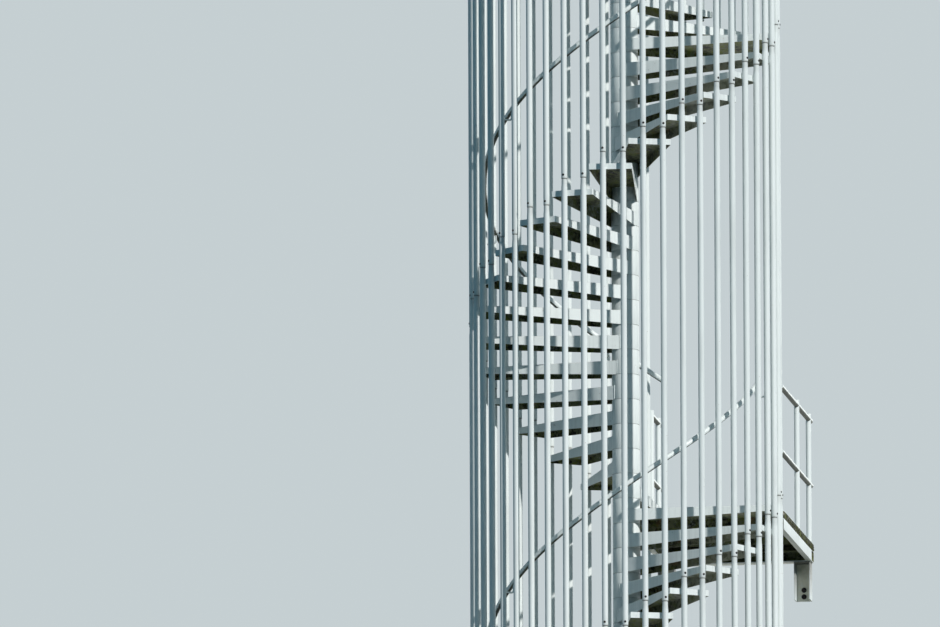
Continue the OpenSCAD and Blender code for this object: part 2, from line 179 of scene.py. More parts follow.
class Wire:
    """A socket of a shader tree that takes part in Python sums"""

    def __init__(self, shader, socket):
        self.shader = shader
        self.socket = socket

    def __add__(self, other):
        return self.shader.math("ADD", self, other)

    def __sub__(self, other):
        return self.shader.math("SUBTRACT", self, other)

    def __rsub__(self, other):
        return self.shader.math("SUBTRACT", other, self)

    def __mul__(self, other):
        return self.shader.math("MULTIPLY", self, other)

    def __truediv__(self, other):
        return self.shader.math("DIVIDE", self, other)

    __radd__ = __add__
    __rmul__ = __mul__

    def clamp(self):
        return self.shader.node("ShaderNodeClamp", {}, {"Value": self})

    def above(self, low, high):
        """0 below low, 1 above high and a smooth step between"""
        ends = {"Value": self, "From Min": low, "From Max": high}
        return self.shader.node("ShaderNodeMapRange", {"interpolation_type": "SMOOTHSTEP"}, ends)


class Shader:
    """A material whose nodes are added by one method"""

    def __init__(self, name):
        self.material = bpy.data.materials.new(name)
        self.material.use_nodes = True
        self.tree = self.material.node_tree
        self.bsdf = next(n for n in self.tree.nodes if n.type == "BSDF_PRINCIPLED")
        self.output = next(n for n in self.tree.nodes if n.type == "OUTPUT_MATERIAL")

    def put(self, socket, value):
        if isinstance(value, Wire):
            self.tree.links.new(value.socket, socket)
        elif socket.type == "RGBA" and len(value) == 3:
            socket.default_value = (*value, 1)
        else:
            socket.default_value = value

    def node(self, kind, settings, inputs, output=0):
        """A node with its settings made first, then its sockets by name or number"""
        made = self.tree.nodes.new(kind)
        for key, value in settings.items():
            setattr(made, key, value)
        for key, value in inputs.items():
            self.put(made.inputs[key], value)
        return Wire(self, made.outputs[output])

    def math(self, operation, a, b):
        return self.node("ShaderNodeMath", {"operation": operation}, {0: a, 1: b})

    def mix(self, a, b, factor):
        """Colour a where factor is 0 and colour b where it is 1"""
        return self.node("ShaderNodeMix", {"data_type": "RGBA"}, {0: factor, 6: a, 7: b}, 2)

    def place(self):
        return self.node("ShaderNodeTexCoord", {}, {}, "Object")

    def place_part(self, axis):
        """One coordinate of the place, in metres"""
        return self.node("ShaderNodeSeparateXYZ", {}, {0: self.place()}, axis)

    def stretched(self, scale):
        return self.node("ShaderNodeMapping", {}, {"Vector": self.place(), "Scale": scale})

    def noise(self, scale, detail=4.0, where=None):
        inputs = {"Vector": where or self.place(), "Scale": scale, "Detail": detail}
        return self.node("ShaderNodeTexNoise", {}, inputs)

    def facing_up(self):
        """The normal's height: 1 on a floor and -1 on a ceiling"""
        normal = self.node("ShaderNodeNewGeometry", {}, {}, "True Normal")
        return self.node("ShaderNodeSeparateXYZ", {}, {0: normal}, 2)

    def attribute(self, name):
        return self.node("ShaderNodeAttribute", {"attribute_name": name}, {}, 2)

    def bump(self, height, distance, strength):
        inputs = {"Height": height, "Distance": distance, "Strength": strength}
        return self.node("ShaderNodeBump", {}, inputs)

    def surface(self, **sockets):
        for name, value in sockets.items():
            self.put(self.bsdf.inputs[name.replace("_", " ")], value)
        return self.material


def times(colour, factor):
    return tuple(factor * v for v in colour)


def shade_paint(name, moss=0.0, grime_low=0.62):
    """White paint with rain streaks, chips of rust, dirt on ledges and moss where it is damp"""
    s, c = Shader(name), colours()
    broad = s.noise(1.7, 5.0)
    streak = s.noise(1.0, 5.0, s.stretched((38.0, 38.0, 1.6)))
    fine = s.noise(46.0, 3.0)
    up = s.facing_up()
    wash = (streak - 0.5) * 0.9 + (broad - 0.5) * 0.8 + 0.5
    colour = s.mix(c.paint, times(c.paint, 0.86), wash.above(0.42, 0.85))
    ledge = up.above(0.55, 0.9)
    colour = s.mix(colour, c.worn, ledge * (0.45 + 0.5 * s.noise(9.0, 6.0)))
    under = (0.0 - up).above(0.5, 0.9)
    dirt = (s.noise(13.0, 6.0) * 0.6 + fine * 0.4).above(grime_low, grime_low + 0.16)
    colour = s.mix(colour, c.grime, dirt * 0.5)
    colour = s.mix(colour, c.soffit, under * 0.75)
    # grime attribute: dark joints on the tubes, and on the wall brackets dirt with painted shade that
    # thickens towards the top
    joint = s.attribute("grime")
    colour = s.mix(colour, c.grime, (joint * (0.65 + 0.7 * fine)).clamp() * 0.9)
    chip = s.noise(85.0, 2.0).above(0.74, 0.78)
    colour = s.mix(colour, c.rust, chip * 0.7)
    if moss:
        damp = (s.noise(24.0, 8.0) * 0.7 + s.noise(5.0, 3.0) * 0.5 + moss - 0.6).above(0.4, 0.52)
        green = s.mix(times(c.soffit, 0.5), c.moss, s.noise(60.0, 4.0).above(0.45, 0.62))
        colour = s.mix(colour, green, ((1.0 - ledge) * damp).clamp())
    rough = 0.46 + 0.2 * broad + 0.25 * dirt + 0.2 * ledge
    height = fine * 0.35 + s.noise(190.0, 2.0) * 0.3 + dirt * 0.5
    return s.surface(
        Base_Color=colour, Roughness=rough.clamp(), Normal=s.bump(height, 0.0009, 0.5),
        Specular_IOR_Level=0.35,
    )


def shade_rail(name, low=0.12, high=0.4):
    """White rail, near black underneath with algae and painted shade"""
    s, c = Shader(name), colours()
    fine = s.noise(60.0, 4.0)
    # near black where the rail faces down: algae and painted shade
    under = (0.0 - s.facing_up() + (fine - 0.5) * 0.4).above(low, high)
    algae_and_painted_shade = s.mix(times(c.soffit, 0.1), times(c.moss, 0.3), fine.above(0.45, 0.6))
    colour = s.mix(c.paint, c.worn, s.facing_up().above(0.75, 1.0) * 0.5)
    colour = s.mix(colour, algae_and_painted_shade, under * 0.95)
    colour = s.mix(colour, c.grime, s.attribute("grime").clamp() * 0.8)
    rough = (0.38 + under * 0.4).clamp()
    return s.surface(Base_Color=colour, Roughness=rough, Normal=s.bump(fine, 0.0006, 0.5))


def shade_dust_and_painted_shade(name):
    """Painted steel under a coat of brown dust, lightened as painted bounce light, and darker towards the
    top with dirt and painted shade from the deck above
    """
    s, c = Shader(name), colours()
    fine = s.noise(38.0, 6.0)
    # dirt and painted shade: noise plus the height mark, thickest towards the top under the deck
    dirt_and_shade = (s.noise(9.0, 6.0) - 0.5) * 1.2 + s.attribute("grime") * 0.9
    # dust lightened 1.6 times as painted bounce light, flecked with paint
    colour = s.mix(times(c.dust, 1.6), c.paint, fine.above(0.5, 0.7) * 0.35)
    colour = s.mix(colour, times(c.soffit, 1.2), dirt_and_shade.above(0.45, 1.25) * 0.8)
    return s.surface(Base_Color=colour, Roughness=0.8, Normal=s.bump(fine, 0.001, 0.5))


def shade_seam(name):
    """Packing ring between two sleeves: grey, with dirt"""
    s, c = Shader(name), colours()
    colour = s.mix(times(c.paint, 0.8), c.grime, s.noise(30.0, 6.0).above(0.5, 0.75) * 0.6)
    return s.surface(Base_Color=colour, Roughness=0.7)


def shade_soffit(name):
    """Mossy underside with bare patches, paler with dust and painted bounce light towards the right front"""
    s, c = Shader(name), colours()
    along = s.stretched((1.0, 0.35, 1.0))
    patch = s.noise(9.0, 6.0, along)
    fine = s.noise(34.0, 6.0)
    speck = s.noise(130.0, 4.0)
    colour = s.mix(c.soffit, times(c.soffit, 0.05), (patch * 0.5 + fine * 0.5).above(0.45, 0.59))
    brown = times(c.soffit, 0.35)
    green = s.mix(times(c.moss, 1.3), brown, (speck * 0.6 + patch * 0.4).above(0.47, 0.6))
    growth = s.noise(23.0, 7.0, along) * 0.5 + fine * 0.3 + speck * 0.2
    colour = s.mix(colour, green, growth.above(0.48, 0.58) * 0.9)
    colour = s.mix(colour, c.rust, s.noise(8.0, 9.0).above(0.62, 0.7) * 0.4)
    bare = (s.noise(3.1, 6.0) * 0.6 + fine * 0.4).above(0.55, 0.64)
    colour = s.mix(colour, times(c.paint, 0.55), bare * 0.6)
    # paler towards the right front: dust and painted bounce light
    to_right = (s.place_part(0) + (patch - 0.5) * 0.9).above(0.3, 0.8)
    to_front = (0.0 - s.place_part(1)).above(-0.15, 0.1)
    pale_dust_and_bounce = s.mix(c.dust, times(c.dust, 0.5), (s.noise(17.0, 7.0) * 0.7 + fine * 0.3).above(0.48, 0.6))
    colour = s.mix(colour, pale_dust_and_bounce, to_right * to_front * 0.75)
    bumps = s.bump(fine + s.noise(140.0, 4.0) * 0.6, 0.003, 0.7)
    return s.surface(Base_Color=colour, Roughness=0.86, Normal=bumps, Specular_IOR_Level=0.3)


def shade_mossy_with_painted_shade(name):
    """Skirt overgrown with dark moss and brown dirt, where specks of paint show, darkened further as painted
    shade
    """
    s, c = Shader(name), colours()
    fine = s.noise(75.0, 5.0)
    patch = s.noise(9.0, 6.0)
    # dark moss, darkened further as painted shade
    colour = s.mix(times(c.soffit, 0.12), times(c.moss, 0.22), patch.above(0.42, 0.58))
    colour = s.mix(colour, times(c.moss, 1.1), (fine * 0.4 + patch * 0.6).above(0.53, 0.64) * 0.8)
    bare = (s.noise(11.0, 7.0) * 0.65 + fine * 0.35).above(0.56, 0.64)
    colour = s.mix(colour, times(c.dust, 1.3), bare * 0.75)
    bumps = s.bump(fine, 0.004, 0.8)
    return s.surface(Base_Color=colour, Roughness=0.9, Normal=bumps, Specular_IOR_Level=0.3)


def shade_moss_with_painted_shade(name):
    """Cushions of moss, brown at the edges, darkened further as painted shade"""
    s, c = Shader(name), colours()
    fine = s.noise(240.0, 4.0)
    patch = s.noise(42.0, 4.0).above(0.4, 0.6)
    # dark moss, darkened further as painted shade
    colour = s.mix(times(c.soffit, 0.2), times(c.moss, 0.45), patch)
    colour = s.mix(colour, times(c.moss, 1.3), fine.above(0.58, 0.75) * 0.5)
    return s.surface(Base_Color=colour, Roughness=0.95, Normal=s.bump(fine, 0.002, 0.8))


def shade_zinc(name):
    """Dull galvanised steel with its flowers"""
    s, c = Shader(name), colours()
    flower = s.node("ShaderNodeTexVoronoi", {}, {"Vector": s.place(), "Scale": 70.0}, "Color")
    grey = s.node("ShaderNodeSeparateColor", {}, {0: flower})
    colour = s.mix(c.zinc, times(c.zinc, 0.75), grey)
    colour = s.mix(colour, c.grime, s.noise(7.0, 6.0).above(0.5, 0.72) * 0.6)
    return s.surface(Base_Color=colour, Metallic=0.55, Roughness=(0.42 + 0.2 * grey).clamp())


def shade_screw(name):
    """Fixings that have gone dark, with rust in the recess"""
    s, c = Shader(name), colours()
    colour = s.mix(c.screw, c.rust, s.noise(120.0, 3.0).above(0.55, 0.7) * 0.5)
    return s.surface(Base_Color=colour, Metallic=0.0, Roughness=0.6, Specular_IOR_Level=0.2)


def finishes():
    """The stair's materials, made once"""
    made = {
        "cage_white": lambda n: shade_paint(n, grime_low=0.66),
        "column_white": lambda n: shade_paint(n, grime_low=0.64),
        "tread_white": lambda n: shade_paint(n, grime_low=0.6),
        "skirt_mossy": shade_mossy_with_painted_shade,
        "beam_white": lambda n: shade_paint(n, moss=0.06, grime_low=0.6),
        "underside": shade_soffit,
        "rail_mossy": shade_rail,
        # helical rails: white, near black underneath with algae and painted shade
        "helix_white": lambda n: shade_rail(n, 0.42, 0.7),
        "dusty": shade_dust_and_painted_shade,
        "seam": shade_seam,
        # moss cushions: dark moss with painted shade
        "moss": shade_moss_with_painted_shade,
        "dull_zinc": shade_zinc,
        "dark_screw": shade_screw,
    }
    return {n: bpy.data.materials.get(n) or make(n) for n, make in made.items()}


# Meshes


def linked(name, mesh):
    piece = bpy.data.objects.new(name, mesh)
    bpy.context.scene.collection.objects.link(piece)
    return piece


def smooth(mesh, angle=SHARP):
    """Smooth shading, apart from folds sharper than an angle in degrees"""
    mesh.shade_smooth()
    mesh.set_sharp_from_angle(angle=math.radians(angle))


def mesh_of(name, bm):
    mesh = bpy.data.meshes.new(name)
    bm.to_mesh(mesh)
    bm.free()
    return mesh


def smooth_mesh(name, bm, angle=SHARP):
    mesh = mesh_of(name, bm)
    smooth(mesh, angle)
    return mesh


def lathe(name, profile, sides, grime=None):
    """A profile of (radius, height) points turned round Z. A radius of 0 closes an end"""
    bm = bmesh.new()
    layer = bm.verts.layers.float.new("grime")
    rings = []
    for i, (radius, height) in enumerate(profile):
        turns = 1 if radius == 0 else sides
        ring = [bm.verts.new(polar(radius, 2 * math.pi * t / sides, height)) for t in range(turns)]
        for vert in ring:
            vert[layer] = grime[i] if grime else 0.0
        rings.append(ring)
    for low, high in zip(rings, rings[1:]):
        for t in range(sides):
            u = (t + 1) % sides
            corners = [low[t % len(low)], low[u % len(low)], high[u % len(high)], high[t % len(high)]]
            face = list(dict.fromkeys(corners))
            if len(face) > 2:
                bm.faces.new(face)
    return smooth_mesh(name, bm)


def hex_head(name, radius, height, washer, stud=None):
    """A hexagon head or nut on Z, with a washer under it and a stud through it"""
    bm = bmesh.new()

    def turned(profile, sides):
        rings = [
            [bm.verts.new(polar(r, 2 * math.pi * t / sides, z)) for t in range(sides)] for r, z in profile
        ]
        for low, high in zip(rings, rings[1:]):
            for t in range(sides):
                u = (t + 1) % sides
                bm.faces.new([low[t], low[u], high[u], high[t]])
        bm.faces.new(rings[-1])
        bm.faces.new(list(reversed(rings[0])))

    wide, base = washer
    turned([(wide, 0.0), (wide, base * 0.8), (wide - base * 0.3, base)], 20)
    turned([(radius, base), (radius, base + height * 0.85), (radius * 0.88, base + height)], 6)
    if stud:
        thin, tall = stud
        turned([(thin, base + height), (thin, base + tall - thin * 0.3), (thin * 0.75, base + tall)], 12)
    return smooth_mesh(name, bm, 30)


# Geometry trees


class Grower:
    """A Geometry Nodes tree, from a Geometry input to Realize Instances and Set Material"""

    def __init__(self, name, **inputs):
        self.tree = bpy.data.node_groups.new(name, "GeometryNodeTree")
        face = self.tree.interface
        face.new_socket("Geometry", in_out="INPUT", socket_type="NodeSocketGeometry")
        for label, kind in inputs.items():
            face.new_socket(label, in_out="INPUT", socket_type="NodeSocket" + kind)
        face.new_socket("Geometry", in_out="OUTPUT", socket_type="NodeSocketGeometry")
        self.given = self.tree.nodes.new("NodeGroupInput").outputs
        self.end = self.tree.nodes.new("NodeGroupOutput")

    def add(self, kind, inputs, output=0, **settings):
        made = self.tree.nodes.new(kind)
        for key, value in settings.items():
            setattr(made, key, value)
        for key, value in inputs.items():
            if isinstance(value, bpy.types.NodeSocket):
                self.tree.links.new(value, made.inputs[key])
            else:
                made.inputs[key].default_value = value
        return made.outputs[output]

    def field(self, name, kind="FLOAT"):
        return self.add("GeometryNodeInputNamedAttribute", {"Name": name}, data_type=kind)

    def math(self, operation, a, b):
        return self.add("ShaderNodeMath", {0: a, 1: b}, operation=operation)

    def xyz(self, x=0.0, y=0.0, z=0.0):
        return self.add("ShaderNodeCombineXYZ", {0: x, 1: y, 2: z})

    def shifted(self, geometry, z):
        return self.add("GeometryNodeSetPosition", {"Geometry": geometry, "Offset": self.xyz(z=z)})

    def copies(self, points, source, scale=None):
        """An input object at each point, turned by the point's attribute turn"""
        shape = self.add("GeometryNodeObjectInfo", {"Object": source}, "Geometry")
        inputs = {"Points": points, "Instance": shape, "Rotation": self.field("turn", "FLOAT_VECTOR")}
        if scale is not None:
            inputs["Scale"] = scale
        return self.add("GeometryNodeInstanceOnPoints", inputs)

    def join(self, *parts):
        made = self.tree.nodes.new("GeometryNodeJoinGeometry")
        for part in parts:
            self.tree.links.new(part, made.inputs[0])
        return made.outputs[0]

    def finish(self, geometry, inside=None):
        """Ends the tree. Faces marked inside get the material of that input"""
        real = self.add("GeometryNodeRealizeInstances", {"Geometry": geometry})
        done = self.add("GeometryNodeSetMaterial", {"Geometry": real, "Material": self.given["Finish"]})
        if inside:
            chosen = {"Material": self.given[inside], "Selection": self.field("inside", "BOOLEAN")}
            done = self.add("GeometryNodeSetMaterial", {"Geometry": done, **chosen})
        self.tree.links.new(done, self.end.inputs[0])
        return self.tree


def spots(name, places, **attributes):
    """A mesh of loose points, each with the attributes that its copy needs"""
    mesh = bpy.data.meshes.new(name)
    mesh.from_pydata(places, [], [])
    for label, values in attributes.items():
        vector = isinstance(values[0], tuple)
        layer = mesh.attributes.new(label, "FLOAT_VECTOR" if vector else "FLOAT", "POINT")
        for item, value in zip(layer.data, values):
            setattr(item, "vector" if vector else "value", value)
    return linked(name, mesh)


def path_object(name, paths):
    """A mesh of open lines, one for each list of points"""
    verts, edges = [], []
    for path in paths:
        start = len(verts)
        verts += [tuple(p) for p in path]
        edges += [(start + i, start + i + 1) for i in range(len(path) - 1)]
    mesh = bpy.data.meshes.new(name)
    mesh.from_pydata(verts, edges, [])
    return linked(name, mesh)


def grow(name, carrier, tree, **values):
    """Runs a tree on a carrier and keeps the result as a plain mesh"""
    modifier = carrier.modifiers.new("grow", "NODES")
    modifier.node_group = tree
    for item in tree.interface.items_tree:
        if item.in_out == "INPUT" and item.name in values:
            modifier[item.identifier] = values[item.name]
    return plain(name, carrier)


def plain(name, source):
    """The evaluated mesh of an object as a new object; the source goes"""
    graph = bpy.context.evaluated_depsgraph_get()
    mesh = bpy.data.meshes.new_from_object(
        source.evaluated_get(graph), preserve_all_data_layers=True, depsgraph=graph
    )
    mesh.name = name
    bpy.data.objects.remove(source)
    return linked(name, mesh)


def copy_tree():
    """Copies of one source at points"""
    name = "copies_at_points"
    if name in bpy.data.node_groups:
        return bpy.data.node_groups[name]
    g = Grower(name, Source="Object", Finish="Material")
    return g.finish(g.copies(g.given["Geometry"], g.given["Source"]))


def sweep_tree():
    """A round bar along lines"""
    name = "rail_along_path"
    if name in bpy.data.node_groups:
        return bpy.data.node_groups[name]
    g = Grower(name, Radius="Float", Finish="Material")
    curve = g.add("GeometryNodeMeshToCurve", {0: g.given["Geometry"]})
    size = {"Resolution": TUBE_SIDES, "Radius": g.given["Radius"]}
    ring = g.add("GeometryNodeCurvePrimitiveCircle", size)
    swept = {"Curve": curve, "Profile Curve": ring, "Fill Caps": True}
    return g.finish(g.add("GeometryNodeCurveToMesh", swept))


def scatter(name, source, places, turns, finish):
    """Copies of a small mesh at places, as one mesh"""
    carrier = spots(name + "_spots", places, turn=turns)
    shape = linked(name + "_source", source)
    piece = grow(name, carrier, copy_tree(), Source=shape, Finish=finish)
    bpy.data.objects.remove(shape)
    return piece


def ready(piece, slot, *replaced):
    """Rides the piece on the root body and hides the nodes that it stands for. Its slot is not used"""
    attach(piece, "root")
    if replaced:
        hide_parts(*replaced)
    return piece


# The stair's own rules


def pitch():
    return 2 * math.pi / sizes().places


def polar(radius, angle, z=0.0):
    return Vector((radius * math.cos(angle), radius * math.sin(angle), z))


def flight_steps():
    return (sizes().places - sizes().landing_places) // 2


def upper_steps():
    return (sizes().places - sizes().rest_places) // 2


def level_of(height):
    return round(height / sizes().riser)


def top_start():
    """First tube place of the upper platform"""
    return sizes().rest_places + 2 * upper_steps() - sizes().places


def lower_level(k):
    """Level of the first tread over a tube place"""
    return 1 + (k - sizes().landing_places) // 2


def middle_level(k):
    return level_of(DOOR_Z) + (0 if k < sizes().landing_places else lower_level(k))


def upper_level(k):
    rest = sizes().rest_places
    return level_of(REST_Z) + (0 if k < rest else 1 + (k - rest) // 2)


def flight_treads():
    """Height and turn of every tread, by flight"""
    s = sizes()
    flights = {
        "lower": (s.landing_places, 0, flight_steps()),
        "middle": (s.landing_places, level_of(DOOR_Z), flight_steps()),
        "upper": (s.rest_places, level_of(REST_Z), upper_steps()),
    }
    return {
        name: [((base + i) * s.riser, (first + 2 * (i - 1) + 0.5) * pitch()) for i in range(1, steps + 1)]
        for name, (first, base, steps) in flights.items()
    }


def every_tread():
    return [tread for treads in flight_treads().values() for tread in treads]


def tube_runs():
    """Place, low end and high end of every cage tube, by storey"""
    s = sizes()
    last = s.landing_places
    deck_under = BEAM_LOW_Z - DOOR_Z + TOP_Z - SEAT_GAP
    top_of = HEAD_Z - RING_H

    def hung(level):
        return level * s.riser - s.skirt_end - s.tube_tail

    def joined(level):
        return level * s.riser + s.joint_up

    def over(level):
        return joined(level) + s.joint_gap

    door, rest = level_of(DOOR_Z), level_of(REST_Z)
    climbing = range(last, s.places)
    foot = [(k, RING_H, joined(door)) for k in (0, 1)]
    foot += [(k, RING_H, joined(lower_level(k))) for k in climbing]
    lower = [(k, over(lower_level(k)), joined(middle_level(k))) for k in climbing]
    middle = [(k, over(door), joined(rest)) for k in (0, 1)]
    middle += [(k, over(middle_level(k)), joined(upper_level(k))) for k in climbing]
    upper = [(k, over(rest), deck_under if k > top_start() + 1 else top_of) for k in (0, 1)]
    upper += [(k, hung(upper_level(k)), deck_under) for k in range(2, last)]
    upper += [(k, over(upper_level(k)), top_of) for k in climbing]
    return {"foot": foot, "lower": lower, "middle": middle, "upper": upper}


# Folded trays


def crossing(a, b):
    """Point where two lines meet, each given by its normal's angle and its distance"""
    (ta, da), (tb, db) = a, b
    turn = math.sin(tb - ta)
    x = (da * math.sin(tb) - db * math.sin(ta)) / turn
    return Vector((x, (db * math.cos(ta) - da * math.cos(tb)) / turn))


def on_sleeve(line, radius, way):
    """Point where a line meets the sleeve, ahead (1) or behind (-1) of its nearest point"""
    angle, distance = line
    along = way * math.sqrt(radius**2 - distance**2)
    x = distance * math.cos(angle) - along * math.sin(angle)
    return Vector((x, distance * math.sin(angle) + along * math.cos(angle)))


def tray_outline(lines):
    radius = SLEEVE_R + SEAT_GAP
    corners = [on_sleeve(lines[0], radius, 1)]
    corners += [crossing(a, b) for a, b in zip(lines, lines[1:])]
    corners.append(on_sleeve(lines[-1], radius, -1))
    return corners


def sleeve_angles(corners):
    """Angles at which an outline leaves the sleeve and comes back to it"""
    return [math.atan2(corners[i].y, corners[i].x) for i in (0, -1)]


def tray_mesh(name, lines, depths):
    """Folded tray: a plate with one skirt per line, open where it meets the sleeve.
    depths gives each skirt's depth at its start and at its end"""
    close = 1e-5
    arc_step = math.radians(9)
    corners = tray_outline(lines)
    bm = bmesh.new()
    rim = [bm.verts.new((p.x, p.y, 0)) for p in corners]
    first, last = sleeve_angles(corners)
    count = max(4, round((last - first) / arc_step))
    turns = [last + (first - last) * i / count for i in range(1, count)]
    bm.faces.new(rim + [bm.verts.new(polar(SLEEVE_R + SEAT_GAP, turn)) for turn in turns])
    feet = []
    for i, point in enumerate(corners):
        wanted = {round(pair[1], 5) for pair in depths[max(i - 1, 0):i]}
        wanted |= {round(pair[0], 5) for pair in depths[i:i + 1]}
        feet.append([(depth, bm.verts.new((point.x, point.y, -depth))) for depth in sorted(wanted)])
    for i, (start, end) in enumerate(depths):
        down = [vert for depth, vert in feet[i] if depth <= start + close]
        up = [vert for depth, vert in reversed(feet[i + 1]) if depth <= end + close]
        bm.faces.new([rim[i], *down, *up, rim[i + 1]])
    return mesh_of(name, bm)


def bevelled(piece, width, segments, angle):
    """Rounds the edges sharper than an angle in degrees"""
    bevel = piece.modifiers.new("round", "BEVEL")
    bevel.width = width
    bevel.segments = segments
    bevel.limit_method = "ANGLE"
    bevel.angle_limit = math.radians(angle)


def fold(name, mesh):
    """Gives an open tray its rounded folds and its sheet, and marks the inner side"""
    tray = linked(name + "_shell", mesh)
    bevelled(tray, width=sizes().fold, segments=3, angle=20)
    sheet = tray.modifiers.new("sheet", "SOLIDIFY")
    sheet.thickness = sizes().sheet
    sheet.offset = -1
    sheet.use_even_offset = True
    sheet.material_offset = 1
    mesh.materials.append(None)
    mesh.materials.append(None)
    piece = plain(name, tray)
    smooth(piece.data, 25)
    weigh = piece.modifiers.new("flat", "WEIGHTED_NORMAL")
    weigh.keep_sharp = True
    piece = plain(name, piece)
    inside = piece.data.attributes.new("inside", "BOOLEAN", "FACE")
    for face, mark in zip(piece.data.polygons, inside.data):
        mark.value = face.material_index == 1
    return piece


def beside(point, line):
    """How far a point lies past a line"""
    angle, distance = line
    return point.x * math.cos(angle) + point.y * math.sin(angle) - distance


def stud_mesh():
    """One raised tear-shaped stud, 26 mm long"""
    bm = bmesh.new()
    half, wide, high = 13 * MM, 4 * MM, 1.8 * MM
    side = [(-half / 2, -wide), (half / 2, -wide)]
    base = [(-half, 0), *side, (half, 0), *((-x, -y) for x, y in side)]
    shorter, narrower = 0.62, 0.45
    low = [bm.verts.new((x, y, 0)) for x, y in base]
    top = [bm.verts.new((x * shorter, y * narrower, high)) for x, y in base]
    for i in range(len(base)):
        j = (i + 1) % len(base)
        bm.faces.new([low[i], low[j], top[j], top[i]])
    bm.faces.new(top)
    return smooth_mesh("stud", bm, 30)


def studs_on(lines):
    """Places and turns of the studs that fit inside an outline, in its own plane"""
    margin = 20 * MM
    step = sizes().stud_pitch
    corners = tray_outline(lines)
    rows, columns = (
        range(math.floor(min(values) / step), math.ceil(max(values) / step) + 1)
        for values in ([p.y for p in corners], [p.x for p in corners])
    )
    places, turns = [], []
    for row in rows:
        for column in columns:
            point = Vector((column * step, row * step))
            free = point.length >= SLEEVE_R + margin
            if free and all(beside(point, line) < -margin for line in lines):
                places.append((point.x, point.y, 0.0))
                turns.append((0.0, 0.0, math.radians(45 if (row + column) % 2 else -45)))
    return places, turns


def with_studs(tray, lines):
    """Joins a tray with its studs"""
    name = tray.name
    studs = scatter(name + "_studs", stud_mesh(), *studs_on(lines), finishes()["tread_white"])
    bm = bmesh.new()
    for piece in (tray, studs):
        bm.from_mesh(piece.data)
        bpy.data.objects.remove(piece)
    return linked(name, mesh_of(name, bm))


def end_radius():
    """Distance of a tread's end skirt from the column's axis"""
    s = sizes()
    return s.cage_r * math.cos(pitch() / 2) - s.tube_d / 2 - SEAT_GAP


def tread_side():
    """Distance of a tread's side from the column's axis, and the angle by which it opens out"""
    end_r = end_radius()
    half = end_r * math.tan(pitch()) + sizes().tread_lap / 2
    side = SLEEVE_R - sizes().side_inset
    return side, math.acos(side / math.hypot(half, end_r)) - math.atan2(end_r, half)


def tread_lines():
    """Front, end and rear line of a tread whose middle line is the X axis"""
    side, flare = tread_side()
    turn = sizes().tread_turn
    return [
        (-math.pi / 2 - flare - turn, side),
        (0.0, end_radius()),
        (math.pi / 2 + flare - turn, side),
    ]


def skirt_depth(along, hub_depth):
    """Depth of a tapered skirt at a distance from the column's axis"""
    fall = (hub_depth - sizes().skirt_end) / (end_radius() - SLEEVE_R)
    return hub_depth - fall * (along - SLEEVE_R)


def deck_lines(first):
    """Lines of a platform whose first tube place is first"""
    s = sizes()
    clear = 6 * MM
    side, flare = tread_side()
    middle = (first + 0.5) * pitch()
    tube_r = s.tube_d / 2
    reach = s.cage_r * math.sin(pitch() / 2) + tube_r + clear + MM
    step = polar(end_radius(), middle) + polar(reach, middle + math.pi / 2)
    half = math.pi / 2
    return [
        (middle - half - flare - s.tread_turn, side),
        (middle, end_radius()),
        (-half, -step.y),
        (0.0, DECK_HIGH.x),
        (half, DECK_HIGH.y),
        (math.pi, -DECK_LOW.x),
        (-half, -(s.cage_r + tube_r + clear)),
        (math.pi, -(tube_r + clear)),
    ]


def rest_lines():
    """Lines of the resting landing"""
    s = sizes()
    side, flare = tread_side()
    count = s.rest_places
    middle = 0.5 * pitch()
    rear = (count - 1.5) * pitch()
    seats = [((2 * i + 0.5) * pitch(), end_radius()) for i in range(count // 2)]
    if count % 2:
        seats.append(((count - 1) * pitch(), s.cage_r - s.tube_d / 2 - SEAT_GAP))
    front = middle - math.pi / 2 - flare - s.tread_turn
    return [(front, side), *seats, (rear + math.pi / 2 + flare - s.tread_turn, side)]


def tray_depths(lines, tapered, level_depth, hub_depth):
    """Depths of a landing's skirts, which taper along the lines named"""
    corners = tray_outline(lines)

    def depth(i, point):
        angle = lines[i][0]
        return skirt_depth(abs(point.y * math.cos(angle) - point.x * math.sin(angle)), hub_depth)

    return [
        tuple(depth(i, corners[j]) for j in (i, i + 1)) if i in tapered else (level_depth, level_depth)
        for i in range(len(lines))
    ]


def tray_finish(piece, lines, height, mossy):
    """Paint outside, the underside finish inside, and moss darkened as painted shade on the skirts of the
    lines named
    """
    mesh = piece.data
    mesh.materials.clear()
    looks = ("tread_white", "underside", "skirt_mossy")
    for name in looks:
        mesh.materials.append(finishes()[name])
    marks = [mark.value for mark in mesh.attributes["inside"].data]
    edge = height - sizes().fold
    for face, inside in zip(mesh.polygons, marks):
        gaps = [abs(beside(face.center, line)) for line in lines]
        face.material_index = int(inside)
        if not inside and face.center.z < edge and gaps.index(min(gaps)) in mossy:
            face.material_index = looks.index("skirt_mossy")


class STAIR_OT_treads(bpy.types.Operator):
    """Folded treads with studs, one mesh per flight"""

    bl_idname = "stair.treads"
    bl_label = "Treads"

    def execute(self, context):
        lines = tread_lines()
        depth = [skirt_depth(p.x, sizes().skirt_hub) for p in tray_outline(lines)]
        shell = tray_mesh("tread_shell", lines, list(zip(depth, depth[1:])))
        source = with_studs(fold("tread_source", shell), lines)
        g = Grower("treads_at_points", Source="Object", Finish="Material", Inside="Material")
        tree = g.finish(g.copies(g.given["Geometry"], g.given["Source"]), inside="Inside")
        looks = {"Finish": finishes()["tread_white"], "Inside": finishes()["underside"]}
        for name, treads in flight_treads().items():
            places = [(0.0, 0.0, z) for z, turn in treads]
            turns = [(0.0, 0.0, turn) for z, turn in treads]
            carrier = spots(f"tread_{name}_spots", places, turn=turns)
            piece = grow(f"tread_flight_{name}", carrier, tree, Source=source, **looks)
            ready(piece, "tread_paint", f"treads_{name}")
        bpy.data.objects.remove(source)
        return {"FINISHED"}


